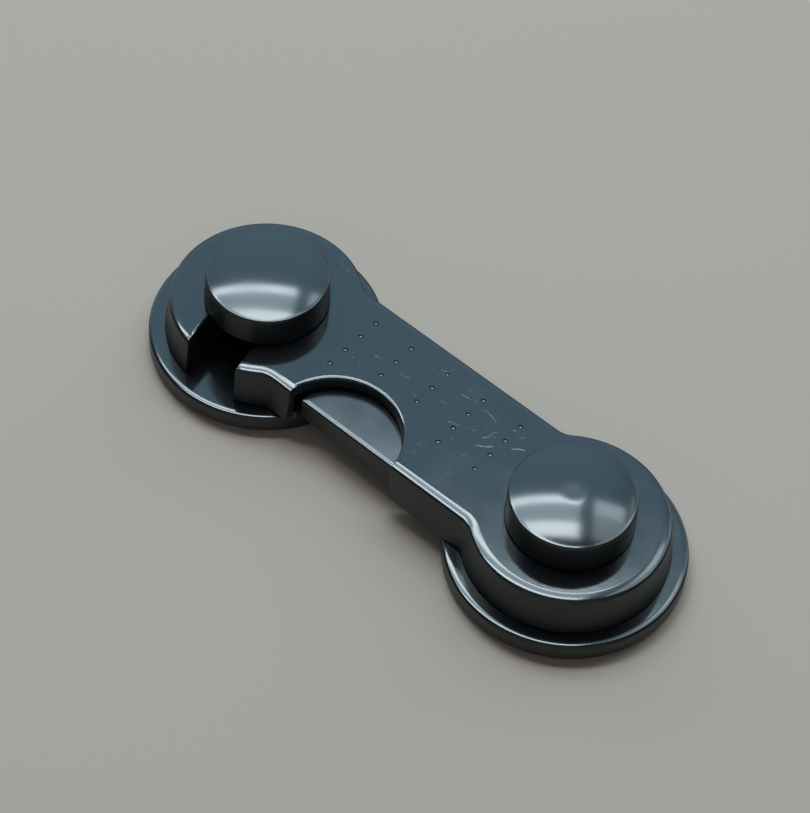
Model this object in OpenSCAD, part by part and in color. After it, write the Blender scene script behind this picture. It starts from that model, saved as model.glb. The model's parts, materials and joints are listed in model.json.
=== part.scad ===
// Cabinet safety lock: an arm that swings on one stuck-on post and hooks over another.
// Origin midway between the two posts, on the surface that the pads are stuck to.
// +X runs from the hook post to the pivot post, -Y is the side with the push tab.

/* [Posts and bases] */
// Distance between the hook post and the pivot post
post_pitch = 69; // [66:0.5:90]
// Radius of each round base
base_r = 21; // [19.5:0.5:24]
// Thickness of the base disc
base_t = 3.35; // [2.5:0.05:4.5]
// Rounding of the base's top edge
base_edge_r = 0.5; // [0.3:0.1:1]
// Width of the sloping shoulder along that edge
base_shoulder_w = 0.8; // [0.3:0.1:1.5]
// Thickness of the adhesive foam pad
pad_t = 1; // [0.6:0.1:1.5]
// Margin between the pad's edge and the base's edge
pad_margin = 0.8; // [0.3:0.1:2]
// Radius of each post's stem
stem_r = 4.5; // [4.2:0.05:4.8]

/* [Caps] */
// Radius of the knob at its lower edge
cap_r = 11.1; // [10.5:0.1:13]
// Draft of the knob's side, from bottom to top
cap_draft = 0.2; // [0:0.05:0.5]
// Height of the knob's straight side, with its edge rounding
cap_side_h = 5.7; // [5:0.1:7]
// Rise of the domed top above the side
cap_dome_h = 1.25; // [0.6:0.05:2]
// Rounding of the knob's edge
cap_edge_r = 0.4; // [0.3:0.1:1.2]
// Radius of the sink mark in the pivot knob's top
sink_r = 2.8; // [2:0.1:4]
// Depth of the sink mark
sink_h = 0.05; // [0.02:0.01:0.1]
// Wall of the hollow knob
cap_wall = 1.8; // [1.2:0.1:2.4]
// Thickness of the ribs inside the knob
cap_rib_t = 1; // [0.6:0.1:1.6]
// Number of ribs inside the knob
cap_rib_count = 6; // [3:1:8]

/* [Arm] */
// Height of the arm
arm_h = 7.7; // [7.2:0.1:9]
// Radius of the arm's ends at the top
arm_end_r = 17.2; // [16.5:0.1:19]
// Half the width of the straight bar at the top
bar_half_w = 12.75; // [12.2:0.05:14]
// Radius of the four concave necks at the top
neck_r = 4.75; // [3:0.05:7]
// Flare of the sides from top to bottom
arm_draft = 0.9; // [0.3:0.05:1.2]
// Rounding of the arm's top edge
arm_edge_r = 0.5; // [0.3:0.1:1]
// Width of the sloping shoulder along that edge
shoulder_w = 1.5; // [0.5:0.1:2]
// Slope of all the shoulders
shoulder_angle = 7; // [5:0.5:12]
// Wall of the shell
arm_wall = 1.5; // [1.2:0.1:1.8]
// Thickness of the shell's top
arm_top_t = 2.2; // [1.6:0.1:2.4]
// Thickness of the ribs inside the shell
arm_rib_t = 1; // [0.6:0.1:1.5]
// Thickness of the bottom plate
plate_t = 1.2; // [1:0.1:1.5]

/* [Hook slot] */
// Half the width of the slot that takes the hook post
slot_half_w = 5; // [4.9:0.05:5.3]
// Wall between the slot and the hollow of the arm
slot_wall = 1.6; // [1.2:0.1:2]

/* [Thumb notch and push tab] */
// Distance from the arm's middle to the notch's centre, towards the hook
notch_x = 5.8; // [4:0.1:7]
// Distance from the arm's middle line to the notch's centre, towards the front
notch_y = 14.2; // [13.8:0.1:15]
// Radius of the notch
notch_r = 11.7; // [10.5:0.1:12]
// Rounding of the top edges of the notch and the hook slot
notch_edge_r = 0.4; // [0.3:0.1:0.9]
// Width of the sloping shoulder along those edges
notch_shoulder_w = 0.5; // [0.3:0.1:1]
// Gap between the tab's left end and the end of the front wall
tab_end_gap = 1.2; // [0.8:0.1:1.6]
// Length of the tab's lip behind the front wall
tab_lip = 2.4; // [1.5:0.1:3]
// Wall of the tab
tab_wall = 1.5; // [1.2:0.1:1.8]
// Reach of the tab behind the notch's deepest point
tab_back = 3; // [2:0.1:3.5]
// Rounding of the tab's front edge
tab_edge_r = 0.4; // [0.3:0.1:1]
// Width of the sloping shoulder along that edge
tab_shoulder_w = 0.7; // [0.3:0.1:1.2]
// Fall of the tab's top towards its front edge
tab_fall = 0.2; // [0:0.05:0.4]
// Angle through which the tab is pressed
press_angle = 10; // [8:0.5:11]

/* [Dimples] */
// Distance between columns of dimples
dimple_dx = 8.25; // [7:0.05:9]
// Distance between rows of dimples
dimple_dy = 4; // [3.5:0.05:4.4]
// Radius of a dimple at the surface
dimple_r = 0.4; // [0.25:0.05:0.5]
// Depth of a dimple
dimple_h = 0.22; // [0.1:0.02:0.3]

/* [Hidden] */
$fn = 64;

// Overrun of every cut
over = 0.5;
// Clearance between parts that move past each other
gap = 0.3;
// Running clearance round the pivot post and the lever's pin
run_fit = 0.05;
// Clearance of parts that are pushed together
push_fit = 0.02;
// Clearance round the bottom plate
plate_fit = 0.1;
// Bite of a screw's thread in its pilot hole
thread_bite = 0.1;
// Steps of the small roundings
round_steps = 5;
// Steps of the knob's dome
dome_steps = 24;

// Heights
base_top_z = pad_t + base_t;
arm_bot_z = base_top_z + gap;
arm_top_z = arm_bot_z + arm_h;
plate_top_z = arm_bot_z + plate_t;
roof_z = arm_top_z - arm_top_t;
cap_lift = 0.45;
cap_bot_z = arm_top_z + cap_lift;
stem_top_z = arm_top_z + cap_lift / 2;

// Places along the arm
left_x = -post_pitch / 2;
right_x = post_pitch / 2;
neck_bite = 0.02;
neck_y = bar_half_w + neck_r - neck_bite;
neck_x = right_x - sqrt(pow(arm_end_r + neck_r - neck_bite, 2) - pow(neck_y, 2));

// Screw that holds a knob
cap_screw_r = 1.5;
cap_screw_head_r = 3;
cap_screw_head_h = 1.8;
screw_hole_fit = 0.2;
base_web_t = 4;
cap_spigot_r = 2.6;
cap_spigot_h = 2.5;
cap_roof_t = 1.9;
spigot_play = 0.3;
head_seat_z = stem_top_z - cap_spigot_h - spigot_play - base_web_t;
recess_w = 0.7;
recess_share = 0.6;

// Screws of the bottom plate
plate_screw_r = 1;
plate_screw_head_r = 1.9;
plate_screw_boss_r = 2.4;
plate_screw_places = [[-post_pitch / 4, bar_half_w - arm_wall - plate_screw_boss_r],
                      [post_pitch / 4, bar_half_w - arm_wall - plate_screw_boss_r],
                      [post_pitch / 4, -(bar_half_w - arm_wall - plate_screw_boss_r)]];

// Pivot boss inside the arm
pivot_boss_wall = 2.2;
plate_hole_play = 0.5;

// Relief of the hook post's seat at the end of the slot
seat_relief = 0.06;

// Lever
lever_play = 0.5;
lever_bot_z = plate_top_z + gap;
lever_top_z = roof_z - lever_play;
lever_boss_r = 3;
lever_pin_r = 1;
pin_seat = 1.2;
pin_floor = 0.3;
crank_w = 3.2;
crank_gap = 1.2;
crank_x = left_x + slot_half_w + slot_wall + crank_gap;
lever_pivot = [crank_x + crank_w / 2 + lever_pin_r / 2, stem_r + slot_wall / 4];

// Push tab
tab_front_y = -(bar_half_w + flare(lever_top_z) - arm_wall - gap);
tab_back_y = notch_r - notch_y + tab_back;
wall_end_dx = sqrt(pow(notch_r, 2) - pow(notch_y + tab_front_y, 2));
tab_left_x = -notch_x - wall_end_dx + tab_end_gap;
tab_right_x = -notch_x + wall_end_dx + tab_lip;
tab_bot_z = arm_bot_z + gap;
skirt_back_y = tab_front_y + tab_wall;

// Latch nose, in front of the hook post
nose_play = 0.1;
nose_h = 1.8;
nose_flat = 1.2;
nose_len = 4;
nose_back_y = -stem_r - nose_play;
nose_tip_x = left_x + slot_half_w - nose_h;
window_play = 0.5;

// Return spring, across the arm behind the tab
spring_wire_r = 0.25;
spring_play = 0.1;
spring_r = (lever_top_z - lever_bot_z) / 2 - spring_wire_r - spring_play;
spring_turns = 7;
spring_sides = 6;
spring_steps = 12;
spring_seat_fit = 0.25;
spring_seat_r = spring_r - spring_wire_r - spring_seat_fit;
spring_seat_len = 1.4;
spring_x = -notch_x;
spring_z = (lever_bot_z + lever_top_z) / 2;
wall_back_y = bar_half_w + flare(spring_z) - arm_wall;

// Flare of the arm's side at a height
function flare(z) = arm_draft * (arm_top_z - z) / arm_h;

// Points of a round corner about a centre, from one angle to another
function arc(c, r, a0, a1, n) = [for (i = [0:n]) let (a = a0 + (a1 - a0) * i / n) c + r * [cos(a), sin(a)]];

// A point turned about the lever's pin
function turned(p, a) = let (d = p - lever_pivot)
    lever_pivot + [d.x * cos(a) - d.y * sin(a), d.x * sin(a) + d.y * cos(a)];

// Drop of a shoulder with an edge rounding, from the flat top to the rounding's centre
function shoulder_drop(w, r) = w * tan(shoulder_angle) + r * cos(shoulder_angle);

// Points of an edge rounding from an angle up to its shoulder, with the shoulder's inner end
function shoulder(x, z, w, r, a0) = let (c = [x, z - shoulder_drop(w, r)])
    concat(arc(c, r, a0, 90 - shoulder_angle, round_steps), [[x + r * sin(shoulder_angle) - w, z]]);

// Edge of the arm's outside, as offsets from the top outline and heights
lean = atan(arm_draft / arm_h);
edge_z = arm_top_z - shoulder_drop(shoulder_w, arm_edge_r);
edge_x = flare(edge_z) - arm_edge_r / cos(lean);
outer_edge = concat([[arm_draft, arm_bot_z]], shoulder(edge_x, arm_top_z, shoulder_w, arm_edge_r, lean));

// Edge of a form set in from the outside, between two heights
function inner_edge(inset, z0, z1) = [[flare(z0) - inset, z0], [flare(z1) - inset, z1]];

// Solid with the arm's outline, from the points of its edge
module arm_form(edge) {
    n = len(edge) - 1;
    z0 = edge[0].y;
    z1 = edge[n].y;
    rotate([90, 0, 90])
        linear_extrude(post_pitch, center = true)
            polygon(concat([for (p = edge) [bar_half_w + p.x, p.y]],
                           [for (i = [n:-1:0]) [-bar_half_w - edge[i].x, edge[i].y]]));
    for (side = [0, 1])
        mirror([side, 0, 0]) {
            translate([right_x, 0, 0])
                rotate_extrude()
                    polygon(concat([[0, z0]], [for (p = edge) [arm_end_r + p.x, p.y]], [[0, z1]]));
            difference() {
                translate([0, 0, z0])
                    linear_extrude(z1 - z0)
                        polygon([[right_x, 0], [neck_x, neck_y], [neck_x, -neck_y]]);
                for (y = [neck_y, -neck_y])
                    translate([neck_x, y, 0])
                        rotate_extrude()
                            polygon(concat([[0, z0 - over], [neck_r - edge[0].x, z0 - over]],
                                           [for (p = edge) [neck_r - p.x, p.y]],
                                           [[neck_r - edge[n].x, z1 + over], [0, z1 + over]]));
            }
        }
}

// Half-profile of a cut with a rounded mouth at the arm's top
function mouth(r, z0) =
    let (edge = shoulder(-r - notch_edge_r, arm_top_z, notch_shoulder_w, notch_edge_r, 0))
    concat([[r, z0]], [for (p = edge) [-p.x, p.y]], [[-edge[len(edge) - 1].x, arm_top_z + over]]);

// Slot that takes the hook post: a round seat and a channel about the pivot post
module hook_slot(side) {
    sweep = asin((arm_end_r + arm_draft + over) / (post_pitch - slot_half_w - slot_wall)) + 1;
    n = len(side) - 1;
    translate([left_x, 0, 0])
        rotate_extrude()
            polygon(concat([[0, side[0].y]], [for (p = side) [p.x + seat_relief, p.y]], [[0, side[n].y]]));
    translate([right_x, 0, 0])
        rotate([0, 0, 180])
            rotate_extrude(angle = sweep)
                polygon(concat([for (p = side) [post_pitch + p.x, p.y]],
                               [for (i = [n:-1:0]) [post_pitch - side[i].x, side[i].y]]));
}

// Base disc with a stem, made at the origin
module base() {
    difference() {
        rotate_extrude()
            polygon(concat([[0, pad_t], [base_r, pad_t]],
                           shoulder(base_r - base_edge_r, base_top_z, base_shoulder_w, base_edge_r, 0),
                           [[stem_r, base_top_z], [stem_r, stem_top_z], [0, stem_top_z]]));
        translate([0, 0, pad_t - over])
            cylinder(r = cap_screw_head_r + screw_hole_fit, h = head_seat_z - pad_t + over);
        translate([0, 0, pad_t])
            cylinder(r = cap_screw_r + screw_hole_fit, h = stem_top_z);
        translate([0, 0, head_seat_z + base_web_t])
            cylinder(r = cap_spigot_r + run_fit, h = stem_top_z);
    }
}

// Depth of a sink mark at a distance from its middle
function dip(r, depth) = r < sink_r ? depth * pow(cos(90 * r / sink_r), 2) : 0;

// Hollow knob with a central boss that plugs into the stem, made at the origin
module cap(sink) {
    rim_r = cap_r - cap_draft - cap_edge_r;
    rim_z = cap_bot_z + cap_side_h - cap_edge_r;
    dome_r = (pow(rim_r, 2) + pow(cap_dome_h, 2)) / (2 * cap_dome_h);
    rim_angle = acos(rim_r / dome_r);
    dome_z = rim_z + cap_edge_r + cap_dome_h - dome_r;
    hollow_r = cap_r - cap_wall;
    hollow_z = cap_bot_z + cap_side_h - cap_roof_t;
    difference() {
        rotate_extrude()
            polygon(concat([[0, stem_top_z], [stem_r, stem_top_z], [stem_r, hollow_z], [hollow_r, hollow_z],
                            [hollow_r, cap_bot_z], [cap_r, cap_bot_z]],
                           arc([rim_r, rim_z], cap_edge_r, 0, rim_angle, round_steps),
                           [for (p = arc([0, dome_z], dome_r, rim_angle, 90, dome_steps))
                               p - [0, dip(p.x, sink)]]));
        translate([0, 0, stem_top_z - over])
            cylinder(r = cap_screw_r - thread_bite, h = hollow_z - stem_top_z + over);
    }
    difference() {
        translate([0, 0, stem_top_z - cap_spigot_h])
            cylinder(r = cap_spigot_r, h = cap_spigot_h);
        translate([0, 0, stem_top_z - cap_spigot_h - over])
            cylinder(r = cap_screw_r - thread_bite, h = cap_spigot_h + 2 * over);
    }
    for (i = [0:cap_rib_count - 1])
        rotate([0, 0, i * 360 / cap_rib_count])
            translate([stem_r - cap_wall / 2, -cap_rib_t / 2, cap_bot_z + cap_lift])
                cube([hollow_r - stem_r + cap_wall, cap_rib_t, hollow_z - cap_bot_z]);
}

// Cross recess in a screw's head, cut upwards from a height
module cross_recess(head_r, z, depth) {
    for (a = [0, 90])
        rotate([0, 0, a])
            translate([-head_r * recess_share, -recess_w / 2, z - over])
                cube([2 * head_r * recess_share, recess_w, depth + over]);
}

// Screw that holds a knob, made at the origin
module cap_screw() {
    head_z = head_seat_z - cap_screw_head_h;
    tip_z = cap_bot_z + cap_side_h - cap_roof_t - spigot_play;
    difference() {
        union() {
            translate([0, 0, head_z])
                cylinder(r = cap_screw_head_r, h = cap_screw_head_h);
            translate([0, 0, head_seat_z])
                cylinder(r = cap_screw_r, h = tip_z - head_seat_z);
        }
        cross_recess(cap_screw_head_r, head_z, cap_screw_head_h * recess_share);
    }
}

// Foam pad, made at the origin
module foam_pad() {
    cylinder(r = base_r - pad_margin, h = pad_t);
}

module left_base() {
    color("#16181b") translate([left_x, 0, 0]) base();
}

module right_base() {
    color("#16181b") translate([right_x, 0, 0]) base();
}

module left_cap() {
    color("#1a1d21") translate([left_x, 0, 0]) cap(0);
}

module right_cap() {
    color("#1a1d21") translate([right_x, 0, 0]) cap(sink_h);
}

module left_cap_screw() {
    color("#b9bcc0") translate([left_x, 0, 0]) cap_screw();
}

module right_cap_screw() {
    color("#b9bcc0") translate([right_x, 0, 0]) cap_screw();
}

module left_foam_pad() {
    color("#e8e8e4") translate([left_x, 0, 0]) foam_pad();
}

module right_foam_pad() {
    color("#e8e8e4") translate([right_x, 0, 0]) foam_pad();
}

// Walls, bosses and ribs that stand in the hollow of the arm
module arm_inside() {
    wall_r = slot_half_w + slot_wall;
    window_len = nose_len + lever_play + 2 * window_play;
    difference() {
        hook_slot([[wall_r, plate_top_z], [wall_r, arm_top_z]]);
        translate([crank_x - crank_gap - slot_wall - over, nose_back_y + window_play - window_len, 0])
            cube([over + slot_wall + crank_gap, window_len, arm_top_z]);
    }
    translate([right_x, 0, plate_top_z])
        cylinder(r = stem_r + pivot_boss_wall, h = arm_h);
    for (a = [0, 60, -60])
        translate([right_x, 0, plate_top_z])
            rotate([0, 0, a])
                translate([0, -arm_rib_t / 2, 0])
                    cube([arm_end_r, arm_rib_t, arm_h]);
    for (p = plate_screw_places)
        translate([p.x, p.y, plate_top_z])
            cylinder(r = plate_screw_boss_r, h = arm_h);
    translate([neck_x, -neck_y, plate_top_z])
        cube([arm_rib_t, 2 * neck_y, arm_h]);
    translate([spring_x, wall_back_y - spring_seat_len, spring_z])
        rotate([-90, 0, 0])
            cylinder(r = spring_seat_r, h = spring_seat_len + arm_wall);
}

// Dimples in the top, left out where they would meet the notch
module dimples() {
    ball_r = (pow(dimple_r, 2) + pow(dimple_h, 2)) / (2 * dimple_h);
    clear_r = notch_r + notch_edge_r + notch_shoulder_w + dimple_r;
    for (i = [-2:2], j = [0:3]) {
        p = [i * dimple_dx, (2 - j) * dimple_dy + dimple_dy / 8];
        if (norm(p + [notch_x, notch_y]) > clear_r)
            translate([p.x, p.y, arm_top_z - dimple_h + ball_r])
                sphere(r = ball_r);
    }
}

module arm_cover() {
    color("#22262b")
        difference() {
            arm_form(outer_edge);
            difference() {
                arm_form(inner_edge(arm_wall, arm_bot_z - over, roof_z));
                arm_inside();
            }
            hook_slot(mouth(slot_half_w, arm_bot_z - over));
            translate([right_x, 0, arm_bot_z])
                cylinder(r = stem_r + run_fit, h = arm_h + over);
            translate([-notch_x, -notch_y, 0])
                rotate_extrude()
                    polygon(concat([[0, arm_bot_z - over]], mouth(notch_r, arm_bot_z - over),
                                   [[0, arm_top_z + over]]));
            for (p = plate_screw_places)
                translate([p.x, p.y, plate_top_z - over])
                    cylinder(r = plate_screw_r - thread_bite, h = roof_z - plate_top_z + over);
            translate([lever_pivot.x, lever_pivot.y, roof_z - over])
                cylinder(r = lever_pin_r + push_fit, h = pin_seat + over);
            dimples();
        }
}

// Room in the bottom plate for the tab's skirt over its whole travel
module skirt_room() {
    left = turned([tab_left_x, skirt_back_y], press_angle);
    right = turned([tab_right_x, skirt_back_y], press_angle);
    front = turned([tab_right_x, tab_front_y], press_angle);
    translate([0, 0, arm_bot_z - over])
        linear_extrude(plate_t + 2 * over)
            polygon([[tab_left_x - lever_play, -neck_y], [tab_left_x - lever_play, left.y + lever_play],
                     [front.x + lever_play, right.y + lever_play], [front.x + lever_play, -neck_y]]);
}

module arm_bottom_plate() {
    head_h = plate_screw_head_r - plate_screw_r;
    color("#1b1e22")
        difference() {
            arm_form(inner_edge(arm_wall + plate_fit, arm_bot_z, plate_top_z));
            hook_slot([[slot_half_w, arm_bot_z - over], [slot_half_w, plate_top_z + over]]);
            translate([right_x, 0, arm_bot_z - over])
                cylinder(r = stem_r + plate_hole_play, h = plate_t + 2 * over);
            skirt_room();
            for (p = plate_screw_places)
                translate([p.x, p.y, arm_bot_z]) {
                    translate([0, 0, -over])
                        cylinder(r = plate_screw_r + plate_fit, h = plate_t + 2 * over);
                    cylinder(r1 = plate_screw_head_r + plate_fit, r2 = plate_screw_r + plate_fit, h = head_h);
                }
            translate([lever_pivot.x, lever_pivot.y, arm_bot_z + pin_floor])
                cylinder(r = lever_pin_r + push_fit, h = plate_t);
        }
}

module bottom_plate_screws() {
    head_h = plate_screw_head_r - plate_screw_r;
    color("#b9bcc0")
        for (p = plate_screw_places)
            translate([p.x, p.y, arm_bot_z])
                difference() {
                    union() {
                        cylinder(r1 = plate_screw_head_r, r2 = plate_screw_r, h = head_h);
                        cylinder(r = plate_screw_r, h = roof_z - arm_bot_z - gap);
                    }
                    cross_recess(plate_screw_head_r, 0, head_h * recess_share);
                }
}

// Cross-section of the push tab: a rounded front skirt, a sloping top and a back wall
module tab_section() {
    front_z = lever_top_z - tab_fall;
    edge = shoulder(-tab_front_y - tab_edge_r, front_z, tab_shoulder_w, tab_edge_r, 0);
    polygon(concat([[skirt_back_y, tab_bot_z], [tab_front_y, tab_bot_z]], [for (p = edge) [-p.x, p.y]],
                   [[tab_back_y, lever_top_z], [tab_back_y, lever_bot_z],
                    [tab_back_y - tab_wall, lever_bot_z], [tab_back_y - tab_wall, lever_top_z - tab_wall],
                    [skirt_back_y, front_z - tab_wall]]));
}

// Outline of the crank: the arm from the pin to the nose, and the arm to the tab
module crank_outline() {
    nose_front_y = nose_back_y - nose_len;
    crank_front_y = nose_front_y - nose_play;
    translate(lever_pivot)
        circle(r = lever_boss_r);
    polygon([[crank_x, lever_pivot.y], [crank_x, nose_back_y], [nose_tip_x, nose_back_y],
             [nose_tip_x, nose_back_y - nose_flat], [left_x + slot_half_w + gap, nose_front_y],
             [crank_x, crank_front_y], [crank_x + crank_w, crank_front_y],
             [tab_left_x + tab_wall, nose_back_y - nose_flat], [tab_left_x + tab_wall, tab_back_y],
             [crank_x + 2 * crank_w, tab_back_y], [lever_pivot.x + lever_boss_r, lever_pivot.y]]);
}

module release_lever() {
    color("#262a30")
        difference() {
            union() {
                translate([tab_left_x, 0, 0])
                    rotate([90, 0, 90])
                        linear_extrude(tab_right_x - tab_left_x)
                            tab_section();
                translate([0, 0, lever_bot_z])
                    linear_extrude(lever_top_z - lever_bot_z)
                        crank_outline();
                translate([spring_x, tab_back_y - tab_wall / 2, spring_z])
                    rotate([-90, 0, 0])
                        cylinder(r = spring_seat_r, h = spring_seat_len + tab_wall / 2);
            }
            translate([lever_pivot.x, lever_pivot.y, lever_bot_z - over])
                cylinder(r = lever_pin_r + run_fit, h = lever_top_z - lever_bot_z + 2 * over);
        }
}

module lever_pivot_pin() {
    color("#c4c7cb")
        translate([lever_pivot.x, lever_pivot.y, arm_bot_z + pin_floor])
            cylinder(r = lever_pin_r, h = roof_z + pin_seat - arm_bot_z - pin_floor);
}

// Ring of points round the spring's wire at a turn
function spring_ring(turn, y) = [for (k = [0:spring_sides - 1])
    let (b = 360 * k / spring_sides, r = spring_r + spring_wire_r * cos(b))
    [r * cos(360 * turn), y + spring_wire_r * sin(b), r * sin(360 * turn)]];

// One unbroken coil between the tab's back and the arm's back wall
module return_spring() {
    y0 = tab_back_y + spring_wire_r + push_fit;
    y1 = wall_back_y - spring_wire_r - gap;
    n = spring_turns * spring_steps;
    rings = [for (i = [0:n]) spring_ring(i / spring_steps, y0 + (y1 - y0) * i / n)];
    points = [for (ring = rings) for (p = ring) p];
    sides = [for (i = [0:n - 1], k = [0:spring_sides - 1])
        let (a = i * spring_sides + k, b = i * spring_sides + (k + 1) % spring_sides)
        each [[a, b, a + spring_sides], [b, b + spring_sides, a + spring_sides]]];
    ends = [for (k = [1:spring_sides - 2])
        each [[0, k + 1, k], [n * spring_sides, n * spring_sides + k, n * spring_sides + k + 1]]];
    color("#aeb2b6")
        translate([spring_x, 0, spring_z])
            polyhedron(points, concat(sides, ends));
}

left_base();
right_base();
left_cap();
right_cap();
left_cap_screw();
right_cap_screw();
left_foam_pad();
right_foam_pad();
arm_cover();
arm_bottom_plate();
bottom_plate_screws();
release_lever();
lever_pivot_pin();
return_spring();
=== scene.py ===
import json
import math

import bmesh
import bpy
from mathutils import Matrix, Vector, noise


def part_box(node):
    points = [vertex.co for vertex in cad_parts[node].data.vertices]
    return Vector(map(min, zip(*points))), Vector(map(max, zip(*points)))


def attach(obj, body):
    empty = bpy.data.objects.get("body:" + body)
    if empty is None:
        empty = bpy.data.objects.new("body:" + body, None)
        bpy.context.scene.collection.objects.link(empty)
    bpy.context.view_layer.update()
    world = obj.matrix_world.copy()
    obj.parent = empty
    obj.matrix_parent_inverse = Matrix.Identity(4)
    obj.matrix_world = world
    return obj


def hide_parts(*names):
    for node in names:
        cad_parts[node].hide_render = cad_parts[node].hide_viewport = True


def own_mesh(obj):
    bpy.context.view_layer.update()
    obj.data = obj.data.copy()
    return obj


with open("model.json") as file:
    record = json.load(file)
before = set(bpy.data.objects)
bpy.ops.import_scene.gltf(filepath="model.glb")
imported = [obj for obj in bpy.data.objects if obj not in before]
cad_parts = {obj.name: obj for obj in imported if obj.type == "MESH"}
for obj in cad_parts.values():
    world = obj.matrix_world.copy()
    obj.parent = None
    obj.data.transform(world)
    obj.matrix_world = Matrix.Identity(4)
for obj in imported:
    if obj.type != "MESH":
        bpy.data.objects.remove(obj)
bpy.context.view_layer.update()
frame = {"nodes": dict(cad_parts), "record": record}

mm = 0.001
record = frame["record"]
bodyOf = {node: body for body, nodes in record["behaviour"]["bodies"].items() for node in nodes}
print("lock: frame loaded with", len(frame["nodes"]), "nodes")

# Places that both the finishes and the pieces use
armTop = 12.35 * mm
notchMiddle = Vector((-5.8 * mm, -14.2 * mm, armTop))


# Camera at the photograph's angle
cameraLook = {
    "azimuth": 37.57,  # degrees, 0 looks along +Y
    "elevation": 52.85,
    "roll": 4.56,
    "focalPixels": 2877.7,
    "imageHeight": 813,
    "sensor": 36.0,
    "distance": 508.8 * mm,
    "target": Vector((-6.5 * mm, 5.75 * mm, 0)),
    "clipStart": 20 * mm,
}


def directionTo(azimuth, elevation):
    a, e = math.radians(azimuth), math.radians(elevation)
    return Vector((math.sin(a) * math.cos(e), -math.cos(a) * math.cos(e), math.sin(e)))


def placed(right, up, back, spot):
    rows = [(right[i], up[i], back[i], spot[i]) for i in range(3)]
    return Matrix((*rows, (0, 0, 0, 1)))


def addCamera(look):
    back = directionTo(look["azimuth"], look["elevation"])
    level = Vector((-back.y, back.x, 0)).normalized()
    roll = math.radians(look["roll"])
    right = level * math.cos(roll) + back.cross(level) * math.sin(roll)
    eye = look["target"] + back * look["distance"]
    data = bpy.data.cameras.new("photoCamera")
    data.sensor_width = look["sensor"]
    data.lens = look["focalPixels"] * look["sensor"] / look["imageHeight"]
    data.clip_start = look["clipStart"]
    camera = bpy.data.objects.new("photoCamera", data)
    camera.matrix_world = placed(right, back.cross(right), back, eye)
    bpy.context.collection.objects.link(camera)
    bpy.context.scene.camera = camera


addCamera(cameraLook)
print("lock: camera placed")


# Soft studio light: panels behind the object, which the glossy plastic mirrors like a divided window
behind = cameraLook["azimuth"] + 180
panelReach = 0.9
panelLook = {  # span: left and right reach in metres, rise: lowest and highest elevation in degrees
    "farStrip": {"span": (-0.42, 0.125), "rise": (59, 63), "radiance": 14, "tint": (0.82, 0.95, 1)},
    "midPanel": {"span": (-0.42, 0.125), "rise": (63, 72.5), "radiance": 3.9, "tint": (0.72, 0.92, 1)},
    "nearStrip": {"span": (-0.45, 0.125), "rise": (72.5, 80), "radiance": 14, "tint": (0.84, 0.96, 1)},
    "sideStrip": {"span": (0.21, 0.42), "rise": (59, 67), "radiance": 5.5, "tint": (0.74, 0.92, 1)},
    "sidePanel": {"span": (0.21, 0.7), "rise": (67, 80), "radiance": 3, "tint": (0.74, 0.92, 1)},
    "rightPanel": {"span": (0.46, 0.8), "rise": (50, 67), "radiance": 2.6, "tint": (0.74, 0.92, 1)},
}


def addPanel(name, look):
    low, high = (math.radians(angle) for angle in look["rise"])
    left, right = look["span"]
    away = directionTo(behind, sum(look["rise"]) / 2)
    level = Vector((away.y, -away.x, 0)).normalized()  # to the right, seen from the camera's side
    spot = away * panelReach + level * (left + right) / 2
    data = bpy.data.lights.new(name, "AREA")
    data.shape = "RECTANGLE"
    data.size = right - left
    data.size_y = 2 * panelReach * math.tan((high - low) / 2)
    data.energy = look["radiance"] * math.pi * data.size * data.size_y
    data.color = look["tint"]
    panel = bpy.data.objects.new(name, data)
    panel.matrix_world = placed(level, away.cross(level), away, spot)
    bpy.context.collection.objects.link(panel)


for panelName, look in panelLook.items():
    addPanel(panelName, look)


# Node helpers shared by the world and the finishes
def newMaterial(name):
    material = bpy.data.materials.new(name)
    material.use_nodes = True
    return material, material.node_tree, material.node_tree.nodes["Principled BSDF"]


def addNode(tree, kind, inputs=None, **settings):
    node = tree.nodes.new(kind if kind.startswith("Node") else "ShaderNode" + kind)
    for key, value in settings.items():
        setattr(node, key, value)
    for key, value in (inputs or {}).items():
        if isinstance(value, bpy.types.NodeSocket):
            tree.links.new(value, node.inputs[key])
        else:
            node.inputs[key].default_value = value
    return node


def mathNode(tree, operation, first, second=0.0, third=0.0):
    return addNode(tree, "Math", {0: first, 1: second, 2: third}, operation=operation).outputs[0]


def vectorNode(tree, operation, first, second=(0, 0, 0)):
    node = addNode(tree, "VectorMath", {0: first, 1: second}, operation=operation)
    return node.outputs["Vector" if operation == "SUBTRACT" else "Value"]


def splitNode(tree, place):
    return addNode(tree, "SeparateXYZ", {"Vector": place}).outputs


def rangeNode(tree, value, low, high, toLow=0.0, toHigh=1.0, **settings):
    inputs = {"Value": value, "From Min": low, "From Max": high, "To Min": toLow, "To Max": toHigh}
    return addNode(tree, "MapRange", inputs, **settings).outputs["Result"]


def noiseNode(tree, place, scale, detail):
    return addNode(tree, "TexNoise", {"Vector": place, "Scale": scale, "Detail": detail}).outputs["Fac"]


def noiseShare(tree, place, look, toLow=0.0, toHigh=1.0):
    spread = noiseNode(tree, place, look["scale"], look["detail"])
    return rangeNode(tree, spread, look["low"], look["high"], toLow, toHigh)


def mixColor(tree, factor, first, second):
    inputs = {"Factor": factor, "A": (*first, 1), "B": (*second, 1)}
    return addNode(tree, "Mix", inputs, data_type="RGBA").outputs["Result"]


def addBump(tree, shader, height, strength, distance):
    bump = addNode(tree, "Bump", {"Height": height, "Strength": strength, "Distance": distance})
    tree.links.new(bump.outputs["Normal"], shader.inputs["Normal"])


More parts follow.
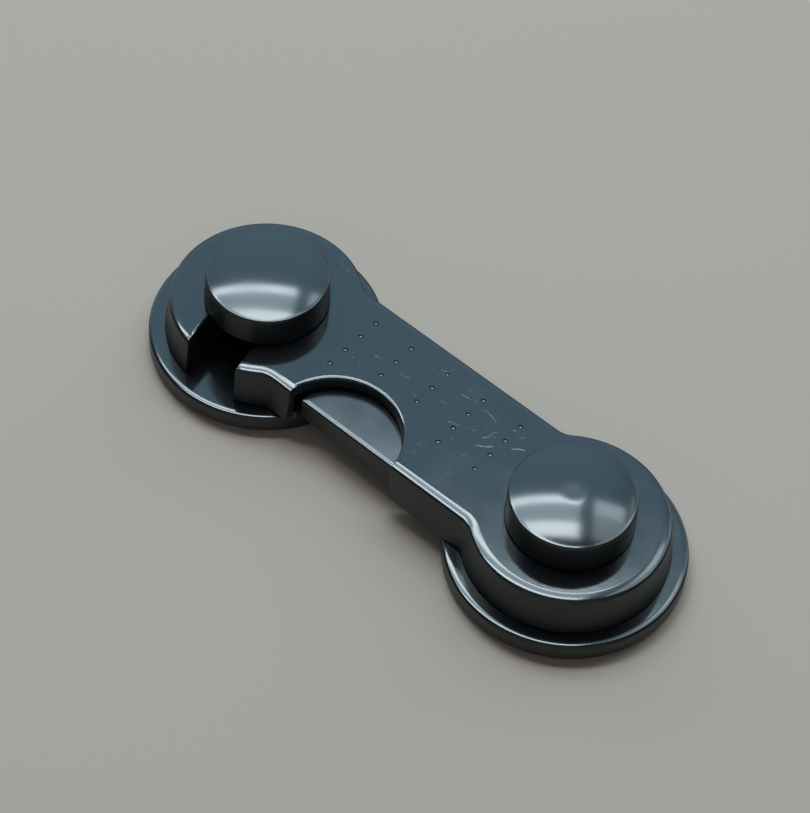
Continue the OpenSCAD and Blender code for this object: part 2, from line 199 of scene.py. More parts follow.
# World with soft glows of sky, and the floor
stageLook = {
    "sky": (0.07, 0.08, 0.09), "ground": (0.06, 0.057, 0.053), "horizon": (-0.2, 0.6),
    "floor": (0.42, 0.333, 0.277), "floorRough": 0.75, "floorSpecular": 0.2,
    "floorSize": 3.0, "floorDrop": 0.03 * mm,
}
glowLook = {  # inner and outer: degrees from the middle where a glow is full and where it ends
    "behindGlow": {"azimuth": behind + 4, "elevation": 46, "inner": 12, "outer": 40,
                   "radiance": (0.71, 1.26, 1.65)},
    "frontGlow": {"azimuth": cameraLook["azimuth"], "elevation": 38, "inner": 10, "outer": 58,
                  "radiance": (0.2, 0.235, 0.26)},
    "rightGlow": {"azimuth": 172, "elevation": 20, "inner": 5, "outer": 20, "radiance": (1.8, 2.1, 2.2)},
    "leftGlow": {"azimuth": 262, "elevation": 22, "inner": 5, "outer": 20, "radiance": (1.2, 1.5, 1.7)},
}


def addWorld(look, glows):
    world = bpy.data.worlds.new("studio")
    world.use_nodes = True
    tree = world.node_tree
    place = addNode(tree, "TexCoord").outputs["Generated"]
    height = rangeNode(tree, splitNode(tree, place)["Z"], *look["horizon"])
    shade = mixColor(tree, height, look["ground"], look["sky"])
    for glow in glows.values():
        near = vectorNode(tree, "DOT_PRODUCT", place, directionTo(glow["azimuth"], glow["elevation"]))
        outer, inner = (math.cos(math.radians(glow[key])) for key in ("outer", "inner"))
        share = rangeNode(tree, near, outer, inner, interpolation_type="SMOOTHSTEP")
        shade = addNode(tree, "Mix", {"Factor": share, "A": shade, "B": (*glow["radiance"], 1)},
                        data_type="RGBA", blend_type="ADD").outputs["Result"]
    tree.links.new(shade, tree.nodes["Background"].inputs["Color"])
    bpy.context.scene.world = world


def addFloor(look):
    half = look["floorSize"] / 2
    mesh = bpy.data.meshes.new("floor")
    corners = [(-half, -half), (half, -half), (half, half), (-half, half)]
    mesh.from_pydata([(x, y, -look["floorDrop"]) for x, y in corners], [], [(0, 1, 2, 3)])
    floor = bpy.data.objects.new("floor", mesh)
    bpy.context.collection.objects.link(floor)
    material, _, shader = newMaterial("paleFloor")
    shader.inputs["Base Color"].default_value = (*look["floor"], 1)
    shader.inputs["Roughness"].default_value = look["floorRough"]
    shader.inputs["Specular IOR Level"].default_value = look["floorSpecular"]
    mesh.materials.append(material)


addWorld(stageLook, glowLook)
addFloor(stageLook)
bpy.context.scene.view_settings.view_transform = "Standard"
print("lock: studio ready")


# Single scratches and pale specks on the arm's top, in mm: start, end, bow, half width, paleness
scratchLook = [
    ((4.3, 6.9), (6.6, 7.2), 0.05, 0.14, 0.6),
    ((7.2, 7.4), (7.4, 7.4), 0.0, 0.16, 0.9),
    ((9.2, 7.2), (13.4, 6.2), 0.25, 0.13, 0.5),
    ((13.2, 0.3), (15.9, 2.3), -0.15, 0.18, 1.0),
    ((13.1, 2.2), (14.9, 4.0), 0.15, 0.18, 0.85),
    ((13.8, 3.1), (14.3, 5.2), 0.15, 0.20, 0.4),
    ((18.3, 3.8), (20.4, 5.3), 0.20, 0.18, 1.0),
    ((6.3, 0.8), (9.0, 1.7), 0.10, 0.32, 0.28),
    ((9.4, 1.9), (11.7, 2.9), -0.10, 0.28, 0.28),
    ((11.8, 4.8), (12.5, 4.7), 0.0, 0.25, 0.3),
    ((17.7, 6.5), (18.6, 7.4), 0.0, 0.16, 0.45),
    ((15.8, 7.0), (17.2, 7.6), 0.10, 0.22, 0.5),
    ((-14.8, -0.6), (-14.3, 0.4), 0.0, 0.18, 0.55),
    ((-11.9, 3.1), (-11.4, 3.3), 0.0, 0.34, 0.6),
    ((-11.3, 3.2), (-10.0, 3.6), 0.0, 0.30, 0.25),
    ((-13.0, -0.2), (-11.6, -0.9), 0.10, 0.35, 0.18),
    ((-6.4, 3.3), (-4.0, 3.6), -0.20, 0.18, 0.45),
    ((-7.5, 8.0), (-6.6, 7.6), 0.0, 0.30, 0.18),
    ((-3.2, 7.9), (-2.3, 7.7), 0.0, 0.30, 0.28),
    ((-1.5, 8.6), (-0.4, 8.9), 0.10, 0.30, 0.4),
    ((-0.8, 10.7), (0.3, 9.7), 0.0, 0.22, 0.35),
    ((-1.9, 1.6), (-0.7, 1.1), 0.0, 0.28, 0.25),
    ((2.8, 3.3), (4.1, 3.7), 0.10, 0.30, 0.22),
    ((9.1, -1.3), (10.0, -1.3), 0.0, 0.28, 0.2),
    ((6.1, -7.8), (7.4, -8.0), 0.0, 0.32, 0.22),
    ((5.9, -6.0), (7.2, -6.3), 0.0, 0.32, 0.22),
    ((6.1, -4.7), (7.1, -5.0), 0.0, 0.32, 0.22),
    ((12.5, -3.2), (13.8, -2.1), 0.0, 0.28, 0.18),
    ((25.4, 1.6), (26.0, 2.1), 0.0, 0.24, 0.4),
    ((-30.5, 14.7), (-29.3, 14.5), 0.05, 0.18, 0.45),
    ((-28.6, 14.1), (-27.6, 14.2), 0.05, 0.18, 0.45),
]
scratchGrain = {"scale": 1800, "detail": 1.0, "low": 0.3, "high": 0.62}  # breaks the strokes up
swellPeak = 0.25  # the swell, share times the rest, at the middle of a scratch
swellFull = 0.16  # and where the ends have faded in


def scratchGroup():
    tree = bpy.data.node_groups.new("scratch", "ShaderNodeTree")
    for name, kind in (("Place", "Vector"), ("Start", "Vector"), ("Along", "Vector"), ("Across", "Vector"),
                       ("Bow", "Float"), ("Half Width", "Float")):
        tree.interface.new_socket(name=name, in_out="INPUT", socket_type="NodeSocket" + kind)
    tree.interface.new_socket(name="Mask", in_out="OUTPUT", socket_type="NodeSocketFloat")
    given = addNode(tree, "NodeGroupInput").outputs
    offset = vectorNode(tree, "SUBTRACT", given["Place"], given["Start"])
    along = vectorNode(tree, "DOT_PRODUCT", offset, given["Along"])
    across = vectorNode(tree, "DOT_PRODUCT", offset, given["Across"])
    swell = mathNode(tree, "MULTIPLY", along, mathNode(tree, "SUBTRACT", 1.0, along))
    aside = mathNode(tree, "SUBTRACT", across, mathNode(tree, "MULTIPLY", swell, given["Bow"]))
    edge = rangeNode(tree, mathNode(tree, "ABSOLUTE", aside), 0.0, given["Half Width"], 1.0, 0.0)
    mask = mathNode(tree, "MULTIPLY", edge, rangeNode(tree, swell, 0.0, swellFull))
    addNode(tree, "NodeGroupOutput", {"Mask": mask})
    return tree


scratch = scratchGroup()


def scratchMask(tree, place):
    total = 0.0
    for start, end, bow, halfWidth, paleness in scratchLook:
        first, last = Vector((*start, 0)) * mm, Vector((*end, 0)) * mm
        run = last - first
        inputs = {"Place": place, "Start": first, "Along": run / run.length_squared,
                  "Across": Vector((-run.y, run.x, 0)).normalized(),
                  "Bow": bow * mm / swellPeak, "Half Width": halfWidth * mm}
        stroke = addNode(tree, "Group", inputs, node_tree=scratch).outputs["Mask"]
        total = mathNode(tree, "MAXIMUM", total, mathNode(tree, "MULTIPLY", stroke, paleness))
    return mathNode(tree, "MULTIPLY", total, noiseShare(tree, place, scratchGrain))


# Rubbed streaks in a few loose patches, all at one slant
streakLook = {
    "slant": 38, "length": 1.8 * mm, "width": 0.17 * mm,
    "streaks": {"scale": 1.0, "detail": 1.0, "low": 0.64, "high": 0.76},
    "patches": {"scale": 130, "detail": 1.0, "low": 0.54, "high": 0.7},
}


def streakMask(tree, place, look):
    inputs = {"Vector": place, "Rotation": (0, 0, math.radians(look["slant"])),
              "Scale": (look["length"], look["width"], look["length"])}
    turned = addNode(tree, "Mapping", inputs, vector_type="TEXTURE").outputs[0]
    streaks = noiseShare(tree, turned, look["streaks"])
    return mathNode(tree, "MULTIPLY", streaks, noiseShare(tree, place, look["patches"]))


# Dust specks: one small round dot in a few of the cells
speckLook = {"pitch": 5 * mm, "size": 0.13 * mm, "drawn": (0.86, 0.9), "paleness": 0.5}


def speckMask(tree, place, look):
    cells = addNode(tree, "TexVoronoi", {"Vector": place, "Scale": 1 / look["pitch"]}).outputs
    dot = rangeNode(tree, cells["Distance"], 0.0, look["size"] / look["pitch"], look["paleness"], 0.0)
    drawn = addNode(tree, "SeparateColor", {"Color": cells["Color"]}).outputs[0]
    return mathNode(tree, "MULTIPLY", dot, rangeNode(tree, drawn, *look["drawn"]))


# Dimples in the arm's top: shallow bowls on a lattice, left out beside the notch, some with a pale ring round
# the lip, a painted highlight
dimpleLook = {
    "pitchX": 8.25 * mm, "pitchY": 4 * mm, "startY": 0.5 * mm, "notchClear": 13 * mm,
    "columns": range(-2, 3), "rows": range(-1, 3),
    "radius": 0.4 * mm, "slack": 1.01, "spread": 1.2, "depth": 0.21 * mm,
    "bowlShare": 0.4, "bowlPower": 2, "rimPower": 8,
    "lipRadius": 0.56 * mm, "lipHalfWidth": 0.12 * mm, "lipHighlightPaleness": 0.45,
    "reachX": 20 * mm, "middleY": 2.5 * mm, "reachY": 7 * mm,
    "lipSome": {"scale": 160, "detail": 0.0, "low": 0.5, "high": 0.66},
}


# Pale ring round some dimples: a painted highlight in the colour, standing in for the glint on a raised lip
def dimpleLipHighlight(tree, place, look):
    axes = splitNode(tree, place)
    u = mathNode(tree, "PINGPONG", axes[0], look["pitchX"] / 2)
    v = mathNode(tree, "PINGPONG", mathNode(tree, "SUBTRACT", axes[1], look["startY"]), look["pitchY"] / 2)
    away = vectorNode(tree, "LENGTH", addNode(tree, "CombineXYZ", {0: u, 1: v}).outputs[0])
    ring = mathNode(tree, "ABSOLUTE", mathNode(tree, "SUBTRACT", away, look["lipRadius"]))
    lip = rangeNode(tree, ring, 0.0, look["lipHalfWidth"], look["lipHighlightPaleness"], 0.0)
    toNotch = vectorNode(tree, "DISTANCE", place, notchMiddle)
    for share in (mathNode(tree, "COMPARE", axes[0], 0.0, look["reachX"]),
                  mathNode(tree, "COMPARE", axes[1], look["middleY"], look["reachY"]),
                  mathNode(tree, "GREATER_THAN", toNotch, look["notchClear"]),
                  noiseShare(tree, place, look["lipSome"])):
        lip = mathNode(tree, "MULTIPLY", lip, share)
    return lip


# Black moulded plastic, from glossy knobs to the scuffed arm
plasticLook = {  # wallMatt: how much rougher the upright walls are than the tops
    "blackCap": {"color": (0.006, 0.007, 0.008), "gloss": 0.13, "wallMatt": 0.24,
                 "drift": 0.015, "peel": 0.01, "scuff": 0.05},
    "blackBase": {"color": (0.006, 0.007, 0.008), "gloss": 0.11, "wallMatt": 0.3,
                  "drift": 0.02, "peel": 0.015, "scuff": 0.1},
    "blackArm": {"color": (0.007, 0.008, 0.0095), "gloss": 0.1, "wallMatt": 0.35,
                 "drift": 0.02, "peel": 0.015, "scuff": 0.3},
    "blackTab": {"color": (0.008, 0.0095, 0.0115), "gloss": 0.17, "wallMatt": 0.25,
                 "drift": 0.03, "peel": 0.015, "scuff": 0.1},
    "blackPlate": {"color": (0.009, 0.01, 0.0115), "gloss": 0.4, "wallMatt": 0.0,
                   "drift": 0.06, "peel": 0.05, "scuff": 0.2},
}
mouldLook = {  # what all the plastic shares; the facings are the upward part of a normal
    "ior": 1.57, "scuffAndHighlightColor": (0.16, 0.185, 0.2), "scuffRough": 0.3,
    "topFacing": (0.93, 0.98), "wallFacing": (0.3, 0.75),
    "drift": {"scale": 140, "detail": 3.0, "low": 0.3, "high": 0.7},
    "peelScale": 420, "grainScale": 2600, "peelDetail": 2.0, "grainShare": 0.12, "relief": 0.2 * mm,
}


def blackPlastic(name, look, shared):
    material, tree, shader = newMaterial(name)
    coords = addNode(tree, "TexCoord").outputs
    place = coords["Object"]
    facing = splitNode(tree, coords["Normal"])["Z"]
    wearAndHighlight = mathNode(tree, "MULTIPLY", streakMask(tree, place, streakLook), look["scuff"])
    wearAndHighlight = mathNode(tree, "MAXIMUM", wearAndHighlight, speckMask(tree, place, speckLook))
    if name == "blackArm":
        wearAndHighlight = mathNode(tree, "MAXIMUM", wearAndHighlight, scratchMask(tree, place))
        # the dimples' pale rings are a painted highlight, mixed in with the wear
        wearAndHighlight = mathNode(tree, "MAXIMUM", wearAndHighlight, dimpleLipHighlight(tree, place, dimpleLook))
    wearAndHighlight = mathNode(tree, "MULTIPLY", wearAndHighlight, rangeNode(tree, facing, *shared["topFacing"]))
    # Wear marks and, on the arm, the painted highlight rings round the dimples, all mixed to the pale scuff
    # colour
    tree.links.new(mixColor(tree, wearAndHighlight, look["color"], shared["scuffAndHighlightColor"]), shader.inputs["Base Color"])
    smoothest, roughest = look["gloss"] - look["drift"], look["gloss"] + look["drift"]
    rough = noiseShare(tree, place, shared["drift"], smoothest, roughest)
    rough = mathNode(tree, "ADD", rough, mathNode(tree, "MULTIPLY", wearAndHighlight, shared["scuffRough"]))
    matt = rangeNode(tree, facing, *shared["wallFacing"], look["wallMatt"], 0.0)
    tree.links.new(mathNode(tree, "ADD", rough, matt), shader.inputs["Roughness"])
    shader.inputs["IOR"].default_value = shared["ior"]
    peel = noiseNode(tree, place, shared["peelScale"], shared["peelDetail"])
    grain = noiseNode(tree, place, shared["grainScale"], shared["peelDetail"])
    peel = mathNode(tree, "ADD", peel, mathNode(tree, "MULTIPLY", grain, shared["grainShare"]))
    addBump(tree, shader, peel, look["peel"], shared["relief"])
    return material


# Plated, ground and drawn steel of the hidden fasteners, the pin and the spring
steelLook = {
    "zincSteel": {"color": (0.56, 0.57, 0.6), "shade": (0.42, 0.43, 0.44), "gloss": 0.32,
                  "lay": (900, 900, 900)},
    "groundSteel": {"color": (0.6, 0.61, 0.63), "shade": (0.5, 0.5, 0.52), "gloss": 0.22,
                    "lay": (400, 400, 5000)},
    "drawnSteel": {"color": (0.5, 0.51, 0.53), "shade": (0.36, 0.37, 0.39), "gloss": 0.28,
                   "lay": (2400, 5200, 2400)},
}
metalLook = {"detail": 4.0, "tone": (0.35, 0.65), "wear": (0.3, 0.7), "rougher": 0.1, "smoother": 0.06,
             "bump": 0.15, "relief": 0.02 * mm}


def steel(name, look, shared):
    material, tree, shader = newMaterial(name)
    inputs = {"Vector": addNode(tree, "TexCoord").outputs["Object"], "Scale": look["lay"]}
    place = addNode(tree, "Mapping", inputs).outputs[0]
    lay = noiseNode(tree, place, 1.0, shared["detail"])
    tone = mixColor(tree, rangeNode(tree, lay, *shared["tone"]), look["shade"], look["color"])
    tree.links.new(tone, shader.inputs["Base Color"])
    roughest, smoothest = look["gloss"] + shared["rougher"], look["gloss"] - shared["smoother"]
    tree.links.new(rangeNode(tree, lay, *shared["wear"], roughest, smoothest), shader.inputs["Roughness"])
    shader.inputs["Metallic"].default_value = 1.0
    addBump(tree, shader, lay, shared["bump"], shared["relief"])
    return material


# White closed-cell foam of the adhesive pads, with painted shade in its pores
foamLook = {
    "color": (0.78, 0.78, 0.755), "poreShade": (0.5, 0.5, 0.475), "cell": 0.28 * mm, "cellWall": (0.1, 0.6),
    "dust": {"scale": 300, "detail": 2.0, "low": 0.3, "high": 0.7}, "rough": (0.75, 0.9),
    "specular": 0.3, "bump": 0.5, "relief": 0.1 * mm,
}


def foamTape(name, look):
    material, tree, shader = newMaterial(name)
    place = addNode(tree, "TexCoord").outputs["Object"]
    cells = addNode(tree, "TexVoronoi", {"Vector": place, "Scale": 1 / look["cell"]}).outputs["Distance"]
    wall = rangeNode(tree, cells, *look["cellWall"])
    # The pore hollows are painted darker than the cell walls: painted shade in the hollows
    tree.links.new(mixColor(tree, wall, look["poreShade"], look["color"]), shader.inputs["Base Color"])
    tree.links.new(noiseShare(tree, place, look["dust"], *look["rough"]), shader.inputs["Roughness"])
    shader.inputs["Specular IOR Level"].default_value = look["specular"]
    addBump(tree, shader, wall, look["bump"], look["relief"])
    return material


finishes = {name: blackPlastic(name, look, mouldLook) for name, look in plasticLook.items()}
finishes.update({name: steel(name, look, metalLook) for name, look in steelLook.items()})
finishes["foamTape"] = foamTape("foamTape", foamLook)
print("lock: finishes made", len(finishes))


# Every piece stands for its node, which it hides, and rides on its body
def dress(mesh, name, node, finish):
    mesh.materials.clear()
    mesh.materials.append(finishes[finish])
    piece = bpy.data.objects.new(name, mesh)
    bpy.context.collection.objects.link(piece)
    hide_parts(node)
    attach(piece, bodyOf[node])
    return piece


# Rigid pieces: the CAD forms with their small edges eased and their roundings shaded smooth
rigidLook = {
    "left_base": {"name": "hookBase", "finish": "blackBase", "ease": 0.08 * mm},
    "right_base": {"name": "pivotBase", "finish": "blackBase", "ease": 0.08 * mm},
    "left_cap": {"name": "hookKnob", "finish": "blackCap", "ease": 0.08 * mm},
    "right_cap": {"name": "pivotKnob", "finish": "blackCap", "ease": 0.08 * mm},
    "arm_cover": {"name": "armShell", "finish": "blackArm"},
    "arm_bottom_plate": {"name": "armPlate", "finish": "blackPlate", "ease": 0.05 * mm},
    "release_lever": {"name": "pushTab", "finish": "blackTab", "ease": 0.06 * mm},
    "left_cap_screw": {"name": "hookKnobScrew", "finish": "zincSteel", "ease": 0.08 * mm},
    "right_cap_screw": {"name": "pivotKnobScrew", "finish": "zincSteel", "ease": 0.08 * mm},
    "bottom_plate_screws": {"name": "plateScrews", "finish": "zincSteel", "ease": 0.04 * mm},
    "lever_pivot_pin": {"name": "tabPin", "finish": "groundSteel", "ease": 0.1 * mm},
}
weldGap = 0.002 * mm
mergeAngle = math.radians(0.1)
sharpAngle = math.radians(34)
easeSteps = 2
roundProfile = 0.5


def upTilt(face):
    return face.normal.angle(Vector((0, 0, 1)), 0)


def sharpEdges(work):
    return [edge for edge in work.edges if len(edge.link_faces) == 2 and edge.calc_face_angle(0) > sharpAngle]


# Sides that the rims follow: how far a point lies past the middle of the edge rounding, and which way is out
outline = {  # inset: from the arm's outline in to that middle, tabFall: how much lower the tab's front is
    "post": Vector((34.5, 0)) * mm, "endR": 17.2 * mm, "halfWidth": 12.75 * mm, "neckR": 4.75 * mm,
    "inset": 0.424 * mm, "notchR": 12.1 * mm, "slotHalf": 5.4 * mm, "seatR": 5.46 * mm,
    "baseR": 20.5 * mm, "tabFrontY": -10.866 * mm, "tabFall": 0.2 * mm,
}
neckY = outline["halfWidth"] + outline["neckR"]
neckX = outline["post"].x - math.sqrt((outline["endR"] + outline["neckR"]) ** 2 - neckY ** 2)
neck = Vector((neckX, neckY))


def discSide(spot, middle, radius):
    away = spot - middle
    return away.length - radius, away.normalized()


def holeSide(spot, middle, radius):
    offset, way = discSide(spot, middle, radius)
    return -offset, -way


def armSide(spot):
    folded = Vector((abs(spot.x), abs(spot.y)))
    if folded.x < neck.x:
        offset, way = folded.y - outline["halfWidth"], Vector((0, 1))
    elif (outline["post"] - neck).cross(folded - neck) < 0:
        offset, way = holeSide(folded, neck, outline["neckR"])
    else:
        offset, way = discSide(folded, outline["post"], outline["endR"])
    unfolded = Vector((math.copysign(1, spot.x) * way.x, math.copysign(1, spot.y) * way.y))
    return offset + outline["inset"], unfolded


def notchSide(spot):
    return holeSide(spot, notchMiddle.xy, outline["notchR"])


def slotSide(spot):
    seat = holeSide(spot, -outline["post"], outline["seatR"])
    swing = spot - outline["post"]
    aside = swing.length - 2 * outline["post"].x
    channel = (outline["slotHalf"] - abs(aside), swing.normalized() * math.copysign(1, -aside))
    return max(seat, channel, key=lambda side: side[0]) if spot.y < 0 else seat


def hookBaseSide(spot):
    return discSide(spot, -outline["post"], outline["baseR"])


def pivotBaseSide(spot):
    return discSide(spot, outline["post"], outline["baseR"])


def tabSide(spot):
    return outline["tabFrontY"] - spot.y, Vector((0, -1))


# Crowned rims: from a flat top the plastic bends over a sloping shoulder into its edge rounding
shoulderSlope = math.radians(7)
slopeSlack = math.radians(2)
rimSlack = 0.12 * mm
crownLook = [(0, 0), (0.16, 3), (0.5, 5.2), (0.76, 9.8), (1, 14.6)]  # share of the shoulder, tilt in degrees
baseTop = 4.35 * mm
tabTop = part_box("release_lever")[1][2] - outline["tabFall"]
rimLook = {
    "arm_cover": [{"side": armSide, "level": armTop, "width": 1.5 * mm, "round": 0.5 * mm},
                  {"side": notchSide, "level": armTop, "width": 0.5 * mm, "round": 0.4 * mm},
                  {"side": slotSide, "level": armTop, "width": 0.5 * mm, "round": 0.4 * mm}],
    "left_base": [{"side": hookBaseSide, "level": baseTop, "width": 0.8 * mm, "round": 0.5 * mm}],
    "right_base": [{"side": pivotBaseSide, "level": baseTop, "width": 0.8 * mm, "round": 0.5 * mm}],
    "release_lever": [{"side": tabSide, "level": tabTop, "width": 0.7 * mm, "round": 0.4 * mm}],
}


def crownTilt(share):
    for (low, lowTilt), (high, highTilt) in zip(crownLook, crownLook[1:]):
        if share <= high:
            return math.radians(lowTilt + (highTilt - lowTilt) * (share - low) / (high - low))
    return math.radians(crownLook[-1][1])


# Share of the shoulder and normal where a point lies on a rim, or nothing; the deepest of several counts
def onRim(spot, rims):
    deepest = None
    for rim in rims:
        offset, way = rim["side"](spot.xy)
        past = offset - rim["round"] * math.sin(shoulderSlope) + rim["width"]
        if past <= 0 or offset > rim["round"] + rimSlack:
            continue
        turn = min(max(offset / rim["round"], math.sin(shoulderSlope)), 1)
        bend = rim["round"] * (math.cos(shoulderSlope) - math.sqrt(1 - turn ** 2))
        drop = min(past, rim["width"]) * math.tan(shoulderSlope) + bend
        if deepest is None or drop > deepest["drop"]:
            deepest = {"drop": drop, "height": rim["level"] - drop, "share": past / rim["width"],
                       "turn": turn, "way": way}
    if deepest is None or abs(deepest["height"] - spot.z) > rimSlack:
        return None
    share, way = deepest["share"], deepest["way"]
    tilt = crownTilt(share) if share < 1 else max(crownTilt(1), math.asin(deepest["turn"]))
    return share, Vector((way.x * math.sin(tilt), way.y * math.sin(tilt), math.cos(tilt)))


# Rows of points along the shoulders, where the crown changes its bend
def cutShoulders(work, rims):
    share = {}
    for vert in work.verts:
        found = onRim(vert.co, rims)
        share[vert] = found[0] if found else 0.0
    slopes = [face for face in work.faces if abs(upTilt(face) - shoulderSlope) < slopeSlack]
    for level, _ in crownLook[1:-1]:
        fresh = set()
        for edge in list(dict.fromkeys(edge for face in slopes for edge in face.edges)):
            first, second = edge.verts
            if (share[first] - level) * (share[second] - level) < 0:
                part = (level - share[first]) / (share[second] - share[first])
                vert = bmesh.utils.edge_split(edge, first, part)[1]
                share[vert] = level
                fresh.add(vert)
        for face in list(slopes):
            ends = [vert for vert in face.verts if vert in fresh]
            if len(ends) == 2:
                slopes.append(bmesh.utils.face_split(face, *ends)[0])


# Upright outer corners of the arm: the hook's two jaws and the two ends of the notch
cornerLook = {"frontY": -12.3 * mm, "top": 11.75 * mm, "steep": 0.2, "round": 0.3 * mm, "steps": 3}


def cornerEdges(work, look):
    chosen = []
    for edge in work.edges:
        first, second = (vert.co for vert in edge.verts)
        inFront = max(first.y, second.y) <= look["frontY"]
        below = max(first.z, second.z) <= look["top"]
        upright = abs(first.z - second.z) >= look["steep"] * edge.calc_length()
        if inFront and below and upright and len(edge.link_faces) == 2:
            if edge.calc_face_angle_signed(0) > sharpAngle:
                chosen.append(edge)
    return chosen


def roundCorners(work, look):
    bmesh.ops.bevel(work, geom=cornerEdges(work, look), offset=look["round"], offset_type="OFFSET",
                    segments=look["steps"], profile=roundProfile, affect="EDGES", clamp_overlap=False)


# The dimples' balls become bowls with steep rims
def shallowDimples(work, look):
    top = max(vert.co.z for vert in work.verts)
    places = [Vector((column * look["pitchX"], look["startY"] + row * look["pitchY"]))
              for column in look["columns"] for row in look["rows"]]
    places = [place for place in places if (place - notchMiddle.xy).length > look["notchClear"]]
    for vert in work.verts:
        if vert.co.z < top - look["radius"]:
            continue
        place = min(places, key=lambda spot: (spot - vert.co.xy).length)
        away = vert.co.xy - place
        share = away.length / look["radius"]
        if share < look["slack"]:
            bowl = look["bowlShare"] * share ** look["bowlPower"]
            bowl += (1 - look["bowlShare"]) * share ** look["rimPower"]
            vert.co.xy = place + away * look["spread"]
            vert.co.z = min(top, top - look["depth"] * (1 - bowl))


# Normals of each corner, averaged over the faces that run on smoothly round it: flats and walls stay
# true, and the slopes and roundings between them curve
weightLook = {  # what each kind of face counts for, and the limits that tell the kinds apart
    "flat": 1000.0, "wall": 100.0, "slope": 1.0,
    "flatTilt": math.radians(1.5), "flatArea": 1 * mm * mm, "wallTilt": math.radians(82.6),
}


def faceWeight(face, look):
    tilt = upTilt(face)
    if min(tilt, math.pi - tilt) < look["flatTilt"] and face.calc_area() > look["flatArea"]:
        return look["flat"]
    return look["wall"] if look["wallTilt"] < tilt < math.pi - look["wallTilt"] else look["slope"]


# Faces round a point, in groups that no sharp edge parts
def smoothFans(vert, sharp):
    fans = []
    left = list(vert.link_faces)
    while left:
        fan, queue = [], [left.pop()]
        while queue:
            face = queue.pop()
            fan.append(face)
            for edge in face.edges:
                if vert in edge.verts and edge not in sharp:
                    beside = [other for other in edge.link_faces if other in left]
                    left = [other for other in left if other not in beside]
                    queue.extend(beside)
        fans.append(fan)
    return fans


def smoothNormals(work, rims, look):
    for face in work.faces:
        face.normal_update()
    weight = {face: faceWeight(face, look) for face in work.faces}
    turn = {(loop.face, loop.vert): loop.calc_angle() for face in work.faces for loop in face.loops}
    sharp = set(sharpEdges(work))
    normals = {}
    for vert in work.verts:
        rim = onRim(vert.co, rims)
        for fan in smoothFans(vert, sharp):
            total = sum((face.normal * weight[face] * turn[face, vert] for face in fan), Vector())
            for face in fan:
                sloping = weight[face] == look["slope"] and upTilt(face) < look["wallTilt"]
                normals[face, vert] = rim[1] if rim and sloping else total.normalized()
    return [normals[loop.face, loop.vert] for face in work.faces for loop in face.loops]


def rigidPiece(node, look):
    work = bmesh.new()
    work.from_mesh(frame["nodes"][node].data)
    bmesh.ops.remove_doubles(work, verts=work.verts, dist=weldGap)
    bmesh.ops.dissolve_limit(work, angle_limit=mergeAngle, verts=work.verts, edges=work.edges)
    if node == "arm_cover":
        shallowDimples(work, dimpleLook)
        roundCorners(work, cornerLook)
    else:
        bmesh.ops.bevel(work, geom=sharpEdges(work), offset=look["ease"], offset_type="OFFSET",
                        segments=easeSteps, profile=roundProfile, affect="EDGES", clamp_overlap=True)
    rims = rimLook.get(node, [])
    cutShoulders(work, rims)
    normals = smoothNormals(work, rims, weightLook)
    mesh = bpy.data.meshes.new(look["name"])
    work.to_mesh(mesh)
    work.free()
    mesh.shade_smooth()
    mesh.normals_split_custom_set(normals)
    dress(mesh, look["name"], node, look["finish"])


for node, look in rigidLook.items():
    rigidPiece(node, look)
print("lock: rigid pieces dressed", len(rigidLook))


# Closed skin over rings of points, one ring after another
def skinRings(rings, name):
    work = bmesh.new()
    loops = [[work.verts.new(spot) for spot in ring] for ring in rings]
    for first, second in zip(loops, loops[1:]):
        for step in range(len(first)):
            after = (step + 1) % len(first)
            work.faces.new((first[step], first[after], second[after], second[step]))
    work.faces.new(list(reversed(loops[0])))
    work.faces.new(loops[-1])
    bmesh.ops.recalc_face_normals(work, faces=work.faces)
    mesh = bpy.data.meshes.new(name)
    work.to_mesh(mesh)
    work.free()
    mesh.shade_smooth()
    mesh.set_sharp_from_angle(angle=sharpAngle)
    return mesh


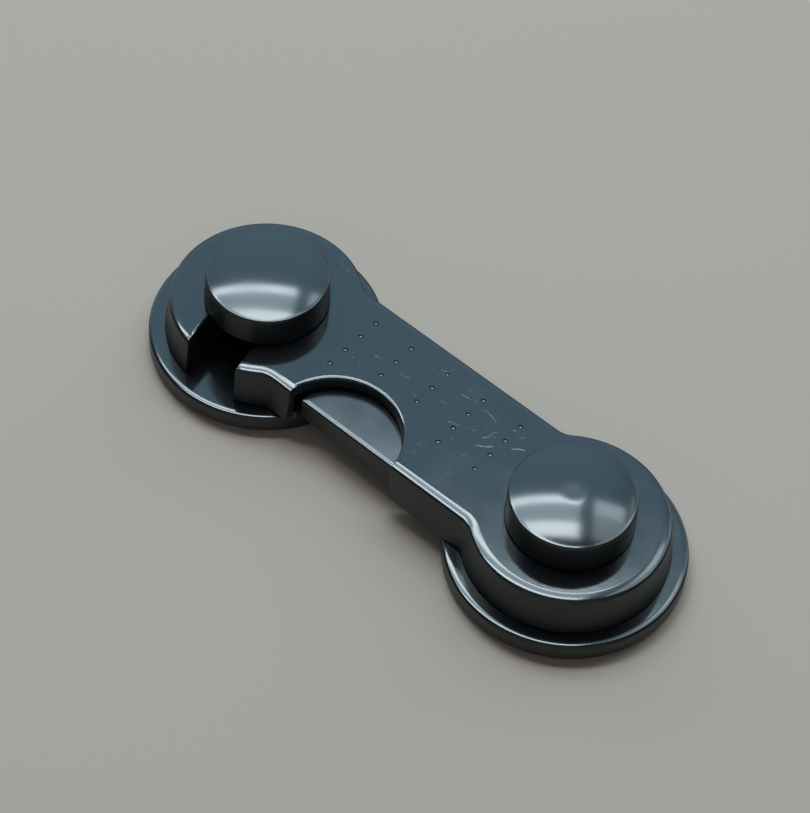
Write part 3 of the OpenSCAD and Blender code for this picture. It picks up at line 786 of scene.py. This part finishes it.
# Foam pads: discs with soft, slightly uneven cut sides that bulge between the two flat faces
padLook = {"left_foam_pad": "hookPad", "right_foam_pad": "pivotPad"}
padShape = {
    "around": 160, "rows": 6, "bulge": 0.25 * mm, "slack": 0.01 * mm, "fill": 0.85,
    "ragged": 0.05 * mm, "ripples": 40, "ripplesUp": 3, "seedPerMetre": 500,
}


def foamPad(node, name, look):
    low, high = (Vector(corner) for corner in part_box(node))
    middle, radius = (low + high) / 2, (high.x - low.x) / 2
    height = high.z - low.z - look["slack"]
    rings = []
    for row in range(look["rows"] + 1):
        share = row / look["rows"]
        inset = look["bulge"] * (2 * share - 1) ** 2
        climb = Vector((0, 0, share * look["ripplesUp"] + middle.x * look["seedPerMetre"]))
        ring = []
        for step in range(look["around"]):
            a = 2 * math.pi * step / look["around"]
            ray = Vector((math.cos(a), math.sin(a), 0))
            rough = look["ragged"] * (noise.noise(ray * look["ripples"] + climb) - 1)
            spot = middle + ray * (radius - inset + rough)
            spot.z = low.z + height * share
            ring.append(spot)
        rings.append(ring)
    pad = dress(skinRings(rings, name), name, node, "foamTape")


for node, name in padLook.items():
    foamPad(node, name, padShape)
print("lock: foam pads made")


# Return spring: a round-wire coil, built at rest, though the tab presses it shorter as it goes in
springLook = {"turns": 7, "wire": 0.25 * mm, "perTurn": 28, "sides": 10, "keep": 0.65}


def coil(node, name, look):
    low, high = (Vector(corner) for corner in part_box(node))
    middle, radius = (low + high) / 2, (high.x - low.x) / 2 - look["wire"]
    front, back = low.y + look["wire"], high.y - look["wire"]
    count = look["turns"] * look["perTurn"]
    around = [2 * math.pi * side / look["sides"] for side in range(look["sides"])]
    rings = []
    for step in range(count + 1):
        a = 2 * math.pi * step / look["perTurn"]
        out = Vector((math.cos(a), 0, math.sin(a)))
        spot = Vector((middle.x, front + (back - front) * step / count, middle.z)) + out * radius
        rays = [out * math.cos(b) + Vector((0, math.sin(b), 0)) for b in around]
        rings.append([spot + look["wire"] * ray for ray in rays])
    spring = dress(skinRings(rings, name), name, node, "drawnSteel")
    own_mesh(spring)


coil("return_spring", "tabSpring", springLook)
print("lock: spring wound")
